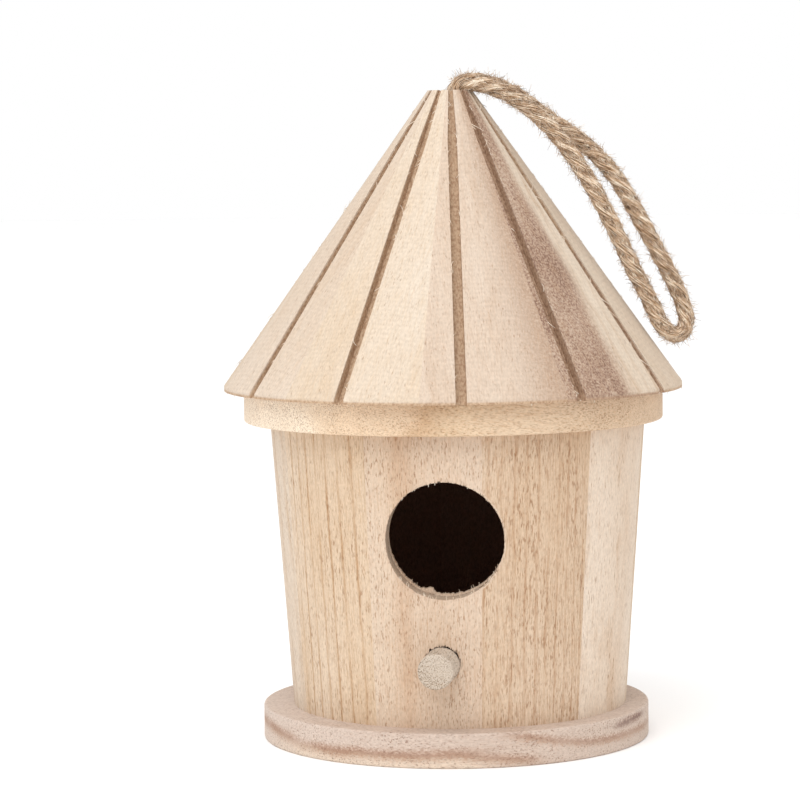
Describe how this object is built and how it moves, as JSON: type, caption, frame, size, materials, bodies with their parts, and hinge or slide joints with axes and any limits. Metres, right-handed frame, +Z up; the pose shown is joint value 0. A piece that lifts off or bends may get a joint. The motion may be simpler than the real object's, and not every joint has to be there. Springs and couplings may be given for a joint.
{
  "type": "birdhouse",
  "caption": "Round wooden birdhouse with a tapered stave body, a grooved cone roof, a round entrance over a dowel perch, and a rope loop at the tip for hanging.",
  "frame": {"origin": "centre of the base disc's underside", "axes": "+Z up along the house's axis, -Y out of the entrance, +X to the side that the rope loop hangs on"},
  "size_m": [0.124, 0.12, 0.1748],
  "materials": {
    "body_wood": "unpainted paulownia, sanded",
    "base_board": "unpainted paulownia board with a heartwood band, sanded",
    "plate_board": "unpainted paulownia board, sanded",
    "roof_wood": "unpainted paulownia, turned, with saw grooves",
    "roof_heartwood": "unpainted paulownia heartwood, turned, with saw grooves",
    "dowel": "unpainted dowel, rough sawn end",
    "jute": "natural three-strand jute, hairy"
  },
  "bodies": {
    "house": {"base_disc": "base_board", "ceiling_plate": "plate_board", "perch_dowel": "dowel", "body_stave_01": "body_wood", "body_stave_02": "body_wood", "body_stave_03": "body_wood", "body_stave_04": "body_wood", "body_stave_05": "body_wood", "body_stave_06": "body_wood", "body_stave_07": "body_wood", "body_stave_08": "body_wood", "body_stave_09": "body_wood", "body_stave_10": "body_wood", "roof_stave_01": "roof_wood", "roof_stave_02": "roof_wood", "roof_stave_03": "roof_heartwood", "roof_stave_04": "roof_wood", "roof_stave_05": "roof_wood", "roof_stave_06": "roof_wood", "roof_stave_07": "roof_wood", "roof_stave_08": "roof_wood", "roof_stave_09": "roof_wood", "roof_stave_10": "roof_wood"},
    "rope_anchor": {"rope_knot": "jute", "rope_tails": "jute", "rope_stem": "jute"},
    "hanging_loop": {"rope_loop": "jute"}
  },
  "joints": [
    {"name": "loop_turn", "type": "hinge", "parent": "house", "child": "rope_anchor", "pos_m": [0, 0, 0.1693], "axis": [0, 0, 1], "continuous": true},
    {"name": "loop_lift", "type": "hinge", "parent": "rope_anchor", "child": "hanging_loop", "pos_m": [0.006, 0, 0.1753], "axis": [0, -1, 0], "range_deg": [0, 145]}
  ]
}
